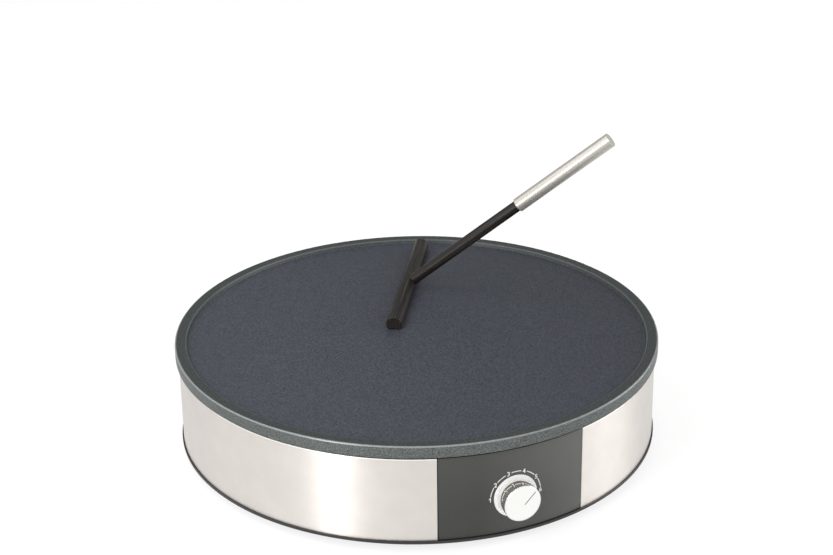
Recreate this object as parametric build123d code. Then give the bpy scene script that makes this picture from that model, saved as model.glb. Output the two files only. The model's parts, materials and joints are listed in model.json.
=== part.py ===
from build123d import *
from math import cos, degrees, radians, sin, sqrt, tan
import os

# Electric crepe maker: a round cast griddle plate on a drum-shaped housing, with one
# control knob on a curved front panel, and a loose T-shaped batter spreader.
#
# Millimetres. The origin is on the plate's axis, on the surface that the feet stand on.
# +Z is up and -Y is the front, where the knob is. Azimuths are degrees from the front,
# seen from above, positive towards +X. Angles on the dial are degrees from +X to +Z.

# ---- griddle plate ----
plate_radius = 175.0
skirt_height = 8.9  # outer wall of the plate, from its lower edge to the rim top
rim_width = 8.0  # flat top of the rim
rim_depth = 2.8  # rim top to cooking surface
rim_slope = 1.6  # inner wall of the rim runs in by this much on its way down
plate_thickness = 5.0
skirt_thickness = 5.5
rim_outer_fillet = 1.2
rim_inner_fillet = 0.9
surface_fillet = 1.1
skirt_lower_fillet = 0.6

# ---- housing stack ----
foot_gap = 5.0  # under the base tray
tray_thickness = 2.7
band_height = 61.5
plate_gap = 1.75  # dark joint between the band and the plate's skirt
band_inset = 2.2  # band inside the plate's outer wall
band_thickness = 0.8
band_fold_depth = 2.2  # inward fold at each end of the band
band_fold_radius = 0.5
tray_overhang = 1.0  # base lip outside the band
tray_chamfer = 0.8

# ---- control panel ----
panel_half_angle = 17.6  # degrees each side of the front
panel_gap = 0.55  # joint between the panel's edge and the band's fold
panel_recess = 0.2
panel_thickness = 2.5
panel_clearance = 0.3  # to the tray below and the frame behind
panel_boss_angle = 13.5
panel_boss_radius = 3.6
panel_boss_inset = 9.5  # boss axis to the panel's upper and lower edges
panel_screw_head = 5.6
board_rim = 0.5  # moulded hub outside the circuit board
window_margin = 3.0  # frame's front window outside the circuit board

# ---- inner frame ----
frame_wall = 3.0
frame_flange_height = 3.0
frame_top_rise = 0.5  # flange top above the band's upper edge
fit_clearance = 0.3
web_width = 5.0

# ---- knob, light ring and dial ----
knob_height = 26.2  # axis above the base tray
knob_reach = 11.4  # knob face in front of the panel
knob_stem_radius = 13.1
knob_stem_edge = 0.3
knob_face_radius = 12.6
knob_cap_thickness = 1.0
knob_cap_edge = 0.15
knob_cap_proud = 0.1  # face in front of the stem's rim
knob_wall = 1.5
knob_hub_radius = 5.5
knob_web = 2.4  # solid front of the knob, behind its cap
pointer_angle = 46.0
pointer_offset = 1.85  # the line runs this far beside the axis
pointer_length = 11.2
pointer_width = 0.6
pointer_depth = 0.25
ring_radius = 15.5
ring_edge = 0.35
ring_bore_gap = 0.3  # between the knob's stem and the light ring
ring_bore_edge = 0.15
ring_reach = 0.4  # light ring in front of the panel
ring_flange_radius = 17.8
ring_flange_thickness = 1.2
ring_skirt_depth = 1.4
ring_skirt_wall = 1.4
ring_seat = 2.4  # panel wall in front of the flange, at the flange's edge
board_margin = 2.9  # circuit board outside the flange's pocket
board_thickness = 1.2
board_bore = 7.0
board_screw_count = 3
board_screw_radius = 0.8
board_screw_head = 1.6
board_screw_head_height = 1.0
board_screw_grip = 2.0  # thread inside the panel
led_height = 0.9
led_size = 2.6
led_count = 6
led_first_azimuth = 30.0

# ---- thermostat ----
shaft_radius = 3.0
shaft_flat = 2.2  # axis to the flat of the D
shaft_running_gap = 0.06
shaft_depth = 13.0  # length inside the thermostat, from its face
spring_thickness = 0.45
spring_width = 2.6
thermostat_size = 32.0
thermostat_depth = 20.0
collar_radius = 6.0
collar_length = 4.0
bracket_thickness = 1.5
bracket_width = 42.0
bracket_foot = 13.0
bracket_boss_height = 3.5
bracket_screw_offset = 15.0
thermostat_screw_offset = 11.5
board_to_collar = 12.0
thermostat_screw_grip = 6.0
contact_offset = 9.0  # thermostat spade tabs, either side of the shaft

# ---- plate mounting ----
pillar_count = 4
pillar_first_azimuth = 45.0
pillar_inset = 16.5  # pillar axis inside the frame's wall
plate_boss_radius = 7.5
plate_boss_height = 5.2
spacer_radius = 6.0
spacer_height = 7.4
shelf_radius = 8.0
shelf_height = 10.0
plate_screw_radius = 2.4
plate_screw_grip = 3.6  # thread inside the plate's boss
plate_screw_head = 4.25
plate_screw_head_height = 3.0
screw_clearance = 0.15
close_clearance = 0.05  # round threads, tabs and pressed pieces
reflector_thickness = 0.6
reflector_rim_height = 6.0
reflector_gap = 6.5  # reflector rim to the frame's wall
reflector_leg_gap = 3.0  # round each leg of the element

# ---- heating element ----
element_radius = 3.3
element_outer_loop = 118.0
element_inner_loop = 72.0
element_start = 200.0  # azimuth of the outer loop's end
element_inner_end = 212.0  # azimuth of the inner loop's end
element_turn = 530.0  # azimuth of the hairpin turn, counted on past a full turn
element_bend = 9.0
element_leg = 8.0
element_rib = 2.0
element_rib_height = 4.6
element_rib_gap = 0.2
insulator_radius = 5.0
insulator_height = 8.0
tab_width = 6.3
tab_thickness = 0.8
tab_length = 9.0

# ---- temperature sensor and thermal cut-out ----
bulb_radius = 2.0
bulb_length = 52.0
bulb_place = 95.0  # distance of the bulb in front of the plate's axis
clip_offset = 16.0
clip_width = 6.0
clip_thickness = 0.8
clip_reach = 9.0
clip_screw_offset = 6.3
clip_screw_head = 2.4
capillary_radius = 0.8
capillary_lead = 20.0  # straight run out of the thermostat, and beyond the bulb's end
capillary_hole = 7.0
capillary_rise = 4.0  # how far the tube swings before it meets the bulb
cutout_radius = 8.0
cutout_height = 8.0
cutout_flange = 15.8
cutout_flange_width = 8.0
cutout_flange_thickness = 1.2
cutout_screw_offset = 12.0
cutout_tab_offset = 5.0
cutout_opening = 14.0
earth_tab_x = 40.0
earth_tab_y = 45.0
earth_tab_foot = 10.0

# ---- base: feet, screws, vents ----
foot_count = 4
foot_radius = 9.0
foot_taper = 1.2
foot_recess = 1.4
foot_circle = 140.0
base_screw_count = 6
base_screw_first_azimuth = 30.0
base_screw_inset = 6.0  # screw axis inside the frame's wall
base_boss_radius = 4.5
base_boss_height = 15.0
base_screw_length = 14.0
small_screw_radius = 1.6
small_screw_head = 3.0
small_screw_head_height = 1.5
cross_length = 3.6  # cross recess in the base screws' heads
cross_width = 0.9
cross_depth = 0.8
vent_count = 9  # on each side
vent_first_azimuth = 50.0
vent_step = 10.0
vent_inner = 68.0
vent_outer = 108.0
vent_width = 3.0

# ---- mains inlet ----
inlet_height = 10.0  # axis above the base tray
cord_radius = 3.6
bushing_radius = 5.4
bushing_flange_radius = 8.0
bushing_flange_thickness = 1.8
bushing_length = 12.0
bushing_seat_gap = 0.1  # flange to the band's outermost line
lock_ring_radius = 7.5
lock_ring_thickness = 2.0
clamp_inset = 31.5  # clamp's middle inside the frame's back wall
clamp_length = 30.0
clamp_width = 8.0
clamp_thickness = 3.0
clamp_boss_radius = 3.6
clamp_screw_offset = 11.0
clamp_bite = 0.7
block_to_clamp = 43.0
block_length = 32.0
block_width = 14.0
block_height = 12.0
pole_pitch = 10.0
pole_bore = 1.6
pole_screw_radius = 1.5
pole_height = 5.0
pole_screw_inset = 3.2
pole_wire_grip = 5.0  # wire inside the pole
block_screw_head = 2.2
block_screw_radius = 1.4

# ---- wires ----
wire_radius = 1.2
wire_level = 3.2  # height of the lowest runs over the base tray
wire_lead = 13.0  # straight length at each end
wire_slack = 8.0  # how far a loose wire bows out of its shortest way
wire_swing = 20.0  # the element's wire swings clear of the cut-out by this much
spade_width = 8.0
spade_thickness = 3.6
spade_length = 15.0
spade_overlap = 7.5  # length of tab inside its connector

# ---- batter spreader ----
spreader_middle_x = 24.0
spreader_middle_y = 75.4
spreader_turn = 59.8  # direction of the bar in plan, degrees from +X
bar_length = 147.7
bar_width = 11.6
bar_height = 9.9
bar_edge = 0.7
stick_radius = 4.3
stick_rise = 39.0  # degrees above the griddle
stick_length = 107.7  # from the bar's middle line to the handle's mouth
stick_start = 1.5  # its end inside the bar, from the bar's middle line
handle_radius = 5.5
handle_wall = 0.6
handle_length = 86.5
handle_edge = 0.25
handle_bush_length = 14.0
tang_radius = 3.4
tang_length = 40.0
handle_cap_thickness = 3.0
socket_clearance = 0.05

# ---- heights ----
z_tray = foot_gap
z_floor = z_tray + tray_thickness
z_band_top = z_floor + band_height
z_frame_top = z_band_top + frame_top_rise
z_skirt = z_band_top + plate_gap
z_rim = z_skirt + skirt_height
z_surface = z_rim - rim_depth
z_underside = z_surface - plate_thickness
z_boss = z_underside - plate_boss_height
z_spacer = z_boss - spacer_height
z_reflector = z_spacer - reflector_thickness
z_shelf = z_reflector - shelf_height
z_knob = z_floor + knob_height
z_inlet = z_floor + inlet_height
z_wire = z_floor + wire_level
z_element = z_underside - element_radius
z_leg = z_element - element_bend - element_leg
z_bulb = z_underside - bulb_radius
z_cutout = z_underside - cutout_height
z_bracket = z_floor + bracket_boss_height

# ---- radii from the plate's axis ----
band_outer = plate_radius - band_inset
band_inner = band_outer - band_thickness
tray_radius = band_outer + tray_overhang
panel_outer = band_outer - panel_recess
panel_inner = panel_outer - panel_thickness
frame_outer = panel_inner - panel_clearance
frame_inner = frame_outer - frame_wall
flange_outer = band_inner - fit_clearance
rim_inner = plate_radius - rim_width
surface_radius = rim_inner - rim_slope
pillar_circle = frame_inner - pillar_inset
reflector_radius = frame_inner - reflector_gap
base_screw_circle = frame_inner - base_screw_inset
clamp_place = frame_inner - clamp_inset
block_place = clamp_place - block_to_clamp
element_middle = (element_outer_loop + element_inner_loop) / 2
hairpin_radius = (element_outer_loop - element_inner_loop) / 2

# ---- azimuths of the front opening's edges ----
fold_angle = panel_half_angle + degrees(panel_gap / band_outer)
open_angle = fold_angle + degrees((band_thickness + fit_clearance) / band_outer)

# ---- distances in front of the plate's axis, along the knob's axis ----
pocket_radius = ring_flange_radius + fit_clearance
board_radius = pocket_radius + board_margin
knob_front = panel_outer + knob_reach
knob_rim = knob_front - knob_cap_proud
knob_shoulder = knob_front - knob_cap_thickness
ring_front = panel_outer + ring_reach
ring_bore = knob_stem_radius + ring_bore_gap
flange_front = sqrt(panel_outer**2 - pocket_radius**2) - ring_seat
flange_back = flange_front - ring_flange_thickness
board_front = flange_back - ring_skirt_depth
board_back = board_front - board_thickness
collar_front = board_back - board_to_collar
thermostat_front = collar_front - collar_length
thermostat_back = thermostat_front - thermostat_depth
bracket_front = thermostat_front + bracket_thickness
shaft_back = thermostat_front - shaft_depth
shaft_front = knob_shoulder - knob_web - fit_clearance

LOW = (Align.CENTER, Align.CENTER, Align.MIN)
CORNER = (Align.MIN, Align.MIN, Align.MIN)
KNOB_PLANE = Plane(origin=(0, 0, z_knob), x_dir=(1, 0, 0), z_dir=(0, -1, 0))
INLET_PLANE = Plane(origin=(0, 0, z_inlet), x_dir=(-1, 0, 0), z_dir=(0, 1, 0))
SPREADER_PLANE = Plane(
    origin=(spreader_middle_x, spreader_middle_y, z_surface),
    x_dir=(cos(radians(spreader_turn)), sin(radians(spreader_turn)), 0),
    z_dir=(0, 0, 1),
)
STICK_PLANE = SPREADER_PLANE * Plane(
    origin=(0, 0, bar_height - bar_width / 2),
    x_dir=(1, 0, 0),
    z_dir=(0, -cos(radians(stick_rise)), sin(radians(stick_rise))),
)


# ---- shared shapes ----


def at(radius, azimuth):
    """The point at a radius and an azimuth from the front, as (x, y)."""
    a = radians(azimuth)
    return radius * sin(a), -radius * cos(a)


def around(count, first=0.0):
    """Evenly spaced azimuths."""
    return [first + 360.0 * i / count for i in range(count)]


def disc(radius, low, high, centre=(0, 0)):
    """A cylinder along Z between two heights."""
    return Pos(centre[0], centre[1], low) * Cylinder(radius, high - low, align=LOW)


def tube(outer, inner, low, high, centre=(0, 0)):
    """A tube along Z between two heights."""
    return disc(outer, low, high, centre) - disc(inner, low, high, centre)


def block(x, y, z):
    """A box from the (low, high) pair of each axis."""
    size = [high - low for low, high in (x, y, z)]
    return Pos(x[0], y[0], z[0]) * Box(*size, align=CORNER)


def arc_wall(outer, inner, low, high, first, last):
    """A wall that curves round the plate's axis from one azimuth to another."""
    middle = Pos((outer + inner) / 2, (low + high) / 2)
    profile = Plane.XZ * middle * Rectangle(outer - inner, high - low)
    return Rot(0, 0, first - 90) * revolve(profile, Axis.Z, last - first)


def radial_rod(radius, near, far, azimuth, z):
    """A cylinder that points away from the plate's axis."""
    x, y = at(1, azimuth)
    plane = Plane(origin=(near * x, near * y, z), z_dir=(x, y, 0))
    return plane * Cylinder(radius, far - near, align=LOW)


def screw(head, shank, places, seat, depth, head_height=small_screw_head_height, down=True):
    """Screws along Z with their heads on a seat, pointing down or up from it."""
    sign = -1 if down else 1
    screws = []
    for place in places:
        top = sorted((seat, seat - sign * head_height))
        tip = sorted((seat, seat + sign * depth))
        screws.append(disc(head, *top, place) + disc(shank, *tip, place))
    return screws


def wire_along(radius, points):
    """A round wire on straight runs joined by the largest arcs that the runs allow."""
    points = [Vector(*point) for point in points]
    runs = [b - a for a, b in zip(points, points[1:])]
    radii = []
    for before, after in zip(runs, runs[1:]):
        half_turn = radians(before.get_angle(after) / 2)
        radii.append(0.45 * min(before.length, after.length) / tan(half_turn))
    path = FilletPolyline(*points, radius=radii)
    section = Plane(origin=points[0], z_dir=runs[0]) * Circle(radius)
    return sweep(section, path=path)


# ---- griddle plate and its heating element ----


def hairpin(profile):
    """Half a turn of a profile that joins the element's outer loop to its inner loop."""
    x, y = at(element_middle, element_turn)
    return Pos(x, y) * Rot(0, 0, element_turn - 90) * revolve(profile, Axis.Z, 180)


def element_strip(half_width, low, high):
    """A flat strip along the element, wider than it by the same amount on both sides."""
    outer, inner = element_outer_loop, element_inner_loop
    turn = Pos(hairpin_radius, (low + high) / 2) * Rectangle(2 * half_width, high - low)
    return (
        arc_wall(outer + half_width, outer - half_width, low, high, element_start, element_turn)
        + arc_wall(inner + half_width, inner - half_width, low, high, element_inner_end, element_turn)
        + hairpin(Plane.XZ * turn)
    )


def make_griddle_plate():
    """The casting: cooking surface, raised rim, skirt, bosses and element ribs."""
    corners = [
        ((0, z_surface), 0),
        ((surface_radius, z_surface), surface_fillet),
        ((rim_inner, z_rim), rim_inner_fillet),
        ((plate_radius, z_rim), rim_outer_fillet),
        ((plate_radius, z_skirt), skirt_lower_fillet),
        ((plate_radius - skirt_thickness, z_skirt), 0),
        ((plate_radius - skirt_thickness, z_underside), 0),
        ((0, z_underside), 0),
    ]
    points = [point for point, _ in corners]
    fillets = [fillet for _, fillet in corners]
    outline = FilletPolyline(*points, radius=fillets, close=True)
    plate = revolve(Plane.XZ * make_face(outline), Axis.Z)
    groove = element_radius + element_rib_gap
    z_rib = z_underside - element_rib_height
    plate += element_strip(groove + element_rib, z_rib, z_underside) - element_strip(
        groove, z_rib, z_underside
    )
    pillars = [at(pillar_circle, azimuth) for azimuth in around(pillar_count, pillar_first_azimuth)]
    for place in pillars:
        plate += disc(plate_boss_radius, z_boss, z_underside, place)
    for place in pillars:
        bore = plate_screw_radius + screw_clearance
        plate -= disc(bore, z_boss, z_boss + plate_screw_grip + 1, place)
    for place in [(x, 0) for x in (-cutout_screw_offset, cutout_screw_offset)] + clip_screws():
        bore = small_screw_radius + screw_clearance
        plate -= disc(bore, z_underside, z_underside + 0.6 * plate_thickness, place)
    return plate


def make_heating_element():
    """One sheathed tube: an outer loop, a hairpin, an inner loop, and two legs down."""
    sheath = Circle(element_radius)

    def loop(radius, first):
        turn = revolve(Plane.XZ * Pos(radius, z_element) * sheath, Axis.Z, element_turn - first)
        return Rot(0, 0, first - 90) * turn

    def leg(radius, azimuth):
        axis = Axis((0, 0, z_element - element_bend), (1, 0, 0))
        bend = revolve(Plane.XZ * Pos(radius, z_element) * sheath, axis, 90)
        straight = disc(element_radius, z_leg, z_element - element_bend, (radius, -element_bend))
        return Rot(0, 0, azimuth - 90) * (bend + straight)

    return (
        loop(element_outer_loop, element_start)
        + loop(element_inner_loop, element_inner_end)
        + hairpin(Plane.XZ * Pos(hairpin_radius, z_element) * sheath)
        + leg(element_outer_loop, element_start)
        + leg(element_inner_loop, element_inner_end)
    )


def leg_places():
    """Where the element's outer and inner legs come down."""
    places = []
    for radius, azimuth in (
        (element_outer_loop, element_start),
        (element_inner_loop, element_inner_end),
    ):
        x, y = at(radius, azimuth)
        back_x, back_y = at(element_bend, azimuth - 90)
        places.append((x + back_x, y + back_y))
    return places


def make_element_insulators():
    """A ceramic bead on the end of each leg."""
    return [disc(insulator_radius, z_leg - insulator_height, z_leg, place) for place in leg_places()]


def make_element_tabs():
    """The spade tab under each ceramic bead."""
    top = z_leg - insulator_height
    return [upright_tab(place, top) for place in leg_places()]


def upright_tab(place, top):
    """A spade tab that points down."""
    x, y = place
    half_width, half_thickness = tab_width / 2, tab_thickness / 2
    return block(
        (x - half_width, x + half_width),
        (y - half_thickness, y + half_thickness),
        (top - tab_length, top),
    )


# ---- what carries the plate ----


def make_plate_spacers():
    """Ceramic spacers that keep the plate's heat away from the frame."""
    bore = plate_screw_radius + screw_clearance
    return [
        tube(spacer_radius, bore, z_spacer, z_boss, at(pillar_circle, azimuth))
        for azimuth in around(pillar_count, pillar_first_azimuth)
    ]


def make_plate_screws():
    """Screws up through the frame's shelves and the spacers into the plate."""
    places = [at(pillar_circle, azimuth) for azimuth in around(pillar_count, pillar_first_azimuth)]
    depth = z_boss + plate_screw_grip - z_shelf
    return screw(
        plate_screw_head, plate_screw_radius, places, z_shelf, depth, plate_screw_head_height, down=False
    )


def make_heat_reflector():
    """A bright sheet-metal dish under the element."""
    reflector = disc(reflector_radius, z_reflector, z_spacer)
    reflector += tube(
        reflector_radius, reflector_radius - reflector_thickness, z_reflector, z_spacer + reflector_rim_height
    )
    holes = [(at(pillar_circle, azimuth), plate_screw_radius + screw_clearance)
             for azimuth in around(pillar_count, pillar_first_azimuth)]
    holes += [(place, element_radius + reflector_leg_gap) for place in leg_places()]
    holes += [((0, 0), cutout_opening), (capillary_passage(), capillary_hole)]
    for place, radius in holes:
        reflector -= disc(radius, z_reflector, z_spacer, place)
    return reflector


def make_inner_frame():
    """The moulded ring inside the band: it carries the plate, the band and the panel."""
    frame = tube(frame_outer, frame_inner, z_floor, z_frame_top)
    for low in (z_floor, z_frame_top - frame_flange_height):
        high = low + frame_flange_height
        frame += arc_wall(flange_outer, frame_inner, low, high, open_angle, 360 - open_angle)

    def web(circle, azimuth, low, high):
        wall = block((circle, frame_inner + frame_wall / 2), (-web_width / 2, web_width / 2), (low, high))
        return Rot(0, 0, azimuth - 90) * wall

    for azimuth in around(pillar_count, pillar_first_azimuth):
        place = at(pillar_circle, azimuth)
        frame += disc(shelf_radius, z_shelf, z_reflector, place) + web(
            pillar_circle, azimuth, z_shelf, z_reflector
        )
        frame -= disc(plate_screw_radius + screw_clearance, z_shelf, z_reflector, place)
    for azimuth in around(base_screw_count, base_screw_first_azimuth):
        place = at(base_screw_circle, azimuth)
        top = z_floor + base_boss_height
        frame += disc(base_boss_radius, z_floor, top, place) + web(base_screw_circle, azimuth, z_floor, top)
        frame -= disc(small_screw_radius + screw_clearance, z_floor, top, place)

    half_window = board_radius + window_margin
    z_window = z_knob + half_window
    frame -= block((-half_window, half_window), (-frame_outer - 1, -frame_inner / 2), (z_floor, z_window))
    for azimuth, z in panel_bosses():
        bore = panel_boss_radius + fit_clearance
        frame -= radial_rod(bore, frame_inner - frame_wall, frame_outer + frame_wall, azimuth, z)
    frame -= INLET_PLANE * disc(bushing_radius + screw_clearance, frame_inner - 2, band_outer)
    return frame


# ---- outer skins ----


def make_steel_band():
    """The brushed steel wrap, open at the front, with an inward fold at each end."""
    band = arc_wall(band_outer, band_inner, z_floor, z_band_top, fold_angle, 360 - fold_angle)
    fold = degrees(band_thickness / band_outer)
    for first in (fold_angle, 360 - fold_angle - fold):
        band += arc_wall(
            band_outer, band_outer - band_fold_depth, z_floor, z_band_top, first, first + fold
        )
    corners = [at(band_outer, azimuth) for azimuth in (fold_angle, -fold_angle)]
    edges = [
        edge
        for edge in band.edges().filter_by(Axis.Z)
        if any((edge.center() - Vector(*corner, edge.center().Z)).length < 0.01 for corner in corners)
    ]
    band = fillet(edges, band_fold_radius)
    return band - INLET_PLANE * disc(bushing_radius + screw_clearance, band_inner - 5, band_outer + 5)


def panel_bosses():
    """The (azimuth, height) of each screw boss behind the panel."""
    heights = (z_floor + panel_boss_inset, z_band_top - panel_boss_inset)
    return [(azimuth, z) for azimuth in (-panel_boss_angle, panel_boss_angle) for z in heights]


def make_control_panel():
    """The curved front panel, with a pocket for the light ring and four screw bosses."""
    panel = arc_wall(
        panel_outer, panel_inner, z_floor + panel_clearance, z_band_top, -panel_half_angle, panel_half_angle
    )
    hub_radius = board_radius + board_rim
    hub_front = (panel_inner + sqrt(panel_outer**2 - hub_radius**2)) / 2
    panel += KNOB_PLANE * disc(hub_radius, board_front, hub_front)
    panel -= KNOB_PLANE * disc(ring_radius + screw_clearance, board_front, panel_outer + 1)
    panel -= KNOB_PLANE * disc(pocket_radius, board_front, flange_front)
    for place in board_screw_places():
        screw_end = board_front + board_screw_grip + close_clearance
        panel -= KNOB_PLANE * disc(board_screw_radius + close_clearance, board_front, screw_end, place)
    for azimuth, z in panel_bosses():
        panel += radial_rod(panel_boss_radius, frame_inner - fit_clearance, panel_inner + 1, azimuth, z)
        panel -= radial_rod(
            small_screw_radius + close_clearance,
            frame_inner - fit_clearance,
            panel_inner + close_clearance,
            azimuth,
            z,
        )
    return panel


def make_panel_screws():
    """Flat-headed screws that hold the panel to the frame from inside."""
    screws = []
    for azimuth, z in panel_bosses():
        seat = frame_inner - fit_clearance
        head = radial_rod(panel_screw_head, seat - small_screw_head_height, seat, azimuth, z)
        screws.append(head + radial_rod(small_screw_radius, seat, panel_inner, azimuth, z))
    return screws


# ---- base ----


def make_base_tray():
    """The moulded bottom: feet recesses, vents, screw holes and mounting bosses."""
    tray = disc(tray_radius, z_tray, z_floor)
    lower_edge = tray.edges().group_by(Axis.Z)[0]
    tray = chamfer(lower_edge, tray_chamfer)
    for azimuth in around(foot_count, pillar_first_azimuth):
        tray -= disc(foot_radius + screw_clearance, z_tray, z_tray + foot_recess, at(foot_circle, azimuth))
    for azimuth in around(base_screw_count, base_screw_first_azimuth):
        place = at(base_screw_circle, azimuth)
        tray -= disc(small_screw_radius + screw_clearance, z_tray, z_floor, place)
        tray -= disc(
            small_screw_head + screw_clearance, z_tray, z_tray + small_screw_head_height, place
        )
    vent_length = vent_outer - vent_inner
    for side in (-1, 1):
        for i in range(vent_count):
            azimuth = side * (vent_first_azimuth + i * vent_step)
            x, y = at((vent_inner + vent_outer) / 2, azimuth)
            slot = Pos(x, y) * Rot(0, 0, azimuth - 90) * SlotOverall(vent_length, vent_width)
            tray -= Pos(0, 0, z_tray) * extrude(slot, tray_thickness)
    for place in bracket_screw_places():
        tray += disc(small_screw_head, z_floor, z_bracket, place)
        tray -= disc(small_screw_radius + close_clearance, z_floor, z_bracket, place)
    for place in clamp_screw_places():
        tray += disc(clamp_boss_radius, z_floor, clamp_seat(), place)
        tray -= disc(small_screw_radius + close_clearance, z_floor, clamp_seat(), place)
    half = clamp_width / 2
    saddle = block((-half, half), (clamp_place - half, clamp_place + half), (z_floor, z_inlet))
    tray += saddle - INLET_PLANE * disc(cord_radius, clamp_place - clamp_width, clamp_place + clamp_width)
    for place in block_screw_places():
        bore = block_screw_radius + close_clearance
        tray -= disc(bore, z_floor - 0.75 * tray_thickness, z_floor, place)
    return tray


def make_base_screws():
    """Cross-headed screws up through the tray into the frame's bosses."""
    places = [
        at(base_screw_circle, azimuth) for azimuth in around(base_screw_count, base_screw_first_azimuth)
    ]
    seat = z_tray + small_screw_head_height
    head_height = small_screw_head_height - screw_clearance
    screws = screw(
        small_screw_head, small_screw_radius, places, seat, base_screw_length, head_height, down=False
    )
    length, width = (-cross_length / 2, cross_length / 2), (-cross_width / 2, cross_width / 2)
    z = (z_tray - 1, seat - head_height + cross_depth)
    cross = block(length, width, z) + block(width, length, z)
    return [piece - Pos(*place) * cross for piece, place in zip(screws, places)]


def make_rubber_feet():
    """Tapered rubber feet, pressed into their recesses."""
    height = foot_gap + foot_recess
    feet = []
    for azimuth in around(foot_count, pillar_first_azimuth):
        x, y = at(foot_circle, azimuth)
        foot = Cone(foot_radius - foot_taper, foot_radius, foot_gap, align=LOW)
        foot += Pos(0, 0, foot_gap) * Cylinder(foot_radius, height - foot_gap, align=LOW)
        feet.append(Pos(x, y) * foot)
    return feet


# ---- mains inlet ----


def make_cord_bushing():
    """The flanged sleeve that guides the mains cord through the band and the frame."""
    back = band_outer + bushing_seat_gap
    sleeve = disc(bushing_radius, back - bushing_length, back)
    sleeve += disc(bushing_flange_radius, back, back + bushing_flange_thickness)
    outer_edge = sleeve.edges().group_by(Axis.Z)[-1]
    sleeve = fillet(outer_edge, 0.45 * bushing_flange_thickness)
    sleeve -= disc(cord_radius, back - bushing_length - 1, back + bushing_flange_thickness + 1)
    return INLET_PLANE * sleeve


def make_bushing_lock_ring():
    """The ring that holds the sleeve from inside the frame."""
    front = sqrt(frame_inner**2 - lock_ring_radius**2) - close_clearance
    bore = bushing_radius + close_clearance
    return INLET_PLANE * tube(lock_ring_radius, bore, front - lock_ring_thickness, front)


def clamp_seat():
    """Height of the bosses that carry the cord clamp."""
    return z_inlet + cord_radius - clamp_bite


def clamp_screw_places():
    return [(x, clamp_place) for x in (-clamp_screw_offset, clamp_screw_offset)]


def make_cord_clamp():
    """A bar that would press the cord into the tray's saddle."""
    half_length, half_width = clamp_length / 2, clamp_width / 2
    y = (clamp_place - half_width, clamp_place + half_width)
    bar = block((-half_length, half_length), y, (clamp_seat(), clamp_seat() + clamp_thickness))
    bar -= INLET_PLANE * disc(cord_radius, y[0] - 1, y[1] + 1)
    for place in clamp_screw_places():
        bar -= disc(
            small_screw_radius + screw_clearance, clamp_seat(), clamp_seat() + clamp_thickness, place
        )
    return bar


def make_clamp_screws():
    """The clamp's two screws."""
    seat = clamp_seat() + clamp_thickness
    depth = seat - z_floor - 1
    return screw(small_screw_head, small_screw_radius, clamp_screw_places(), seat, depth)


def pole_places():
    return [(pole_pitch * i, block_place) for i in (-1, 0, 1)]


def block_screw_places():
    return [(pole_pitch * i, block_place) for i in (-0.5, 0.5)]


def make_terminal_block():
    """The three-pole block where the mains cord would meet the inner wires."""
    half_length, half_width = block_length / 2, block_width / 2
    y = (block_place - half_width, block_place + half_width)
    body = block((-half_length, half_length), y, (z_floor, z_floor + block_height))
    for x, _ in pole_places():
        plane = Plane(origin=(x, 0, z_floor + pole_height), x_dir=(-1, 0, 0), z_dir=(0, 1, 0))
        body -= plane * disc(pole_bore, y[0], y[1])
        for end in (y[0] + pole_screw_inset, y[1] - pole_screw_inset):
            body -= disc(pole_screw_radius, z_floor + pole_height, z_floor + block_height, (x, end))
    for place in block_screw_places():
        body -= disc(block_screw_radius + close_clearance, z_floor, z_floor + block_height, place)
    return body


def make_terminal_screws():
    """Two clamp screws in each pole, and the two that hold the block to the tray."""
    top = z_floor + block_height
    grip = z_floor + pole_height + wire_radius
    screws = []
    for x, _ in pole_places():
        for side in (-1, 1):
            place = (x, block_place + side * (block_width / 2 - pole_screw_inset))
            screws.append(disc(pole_screw_radius - close_clearance, grip, top, place))
    depth = block_height + 0.7 * tray_thickness
    fixing = screw(block_screw_head, block_screw_radius, block_screw_places(), top, depth)
    return screws + fixing


# ---- knob and light ring ----


def make_knob_body():
    """The knob's moulded stem: a plain cup with a bored hub, and a recess for the cap."""
    stem = disc(knob_stem_radius, flange_front, knob_rim)
    stem = fillet(stem.edges().group_by(Axis.Z)[-1], knob_stem_edge)
    stem -= disc(knob_face_radius + close_clearance, knob_shoulder, knob_rim)
    stem -= tube(
        knob_stem_radius - knob_wall, knob_hub_radius, flange_front, knob_shoulder - knob_web
    )
    stem -= disc(shaft_radius + close_clearance, flange_front, knob_shoulder - knob_web)
    return KNOB_PLANE * stem


def make_knob_cap():
    """The brushed face disc with its engraved pointer line."""
    cap = disc(knob_face_radius, knob_shoulder, knob_front)
    cap = fillet(cap.edges().group_by(Axis.Z)[-1], knob_cap_edge)
    line = Pos(pointer_length / 2, -pointer_offset, knob_front - pointer_depth) * Box(
        pointer_length, pointer_width, 2 * pointer_depth, align=LOW
    )
    return KNOB_PLANE * (cap - Rot(0, 0, pointer_angle) * line)


def make_knob_shaft():
    """The thermostat's D-shaped spindle, which turns with the knob."""
    shaft = disc(shaft_radius, shaft_back, shaft_front)
    flat = block(
        (-shaft_radius, shaft_radius), (shaft_flat, shaft_radius + 1), (flange_front, shaft_front + 1)
    )
    return KNOB_PLANE * (shaft - flat)


def make_knob_spring():
    """The leaf that takes up the play between the hub and the spindle's flat."""
    leaf = block(
        (-spring_width / 2, spring_width / 2),
        (shaft_flat, shaft_flat + spring_thickness),
        (flange_front + fit_clearance, shaft_front - fit_clearance),
    )
    return KNOB_PLANE * leaf


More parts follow.
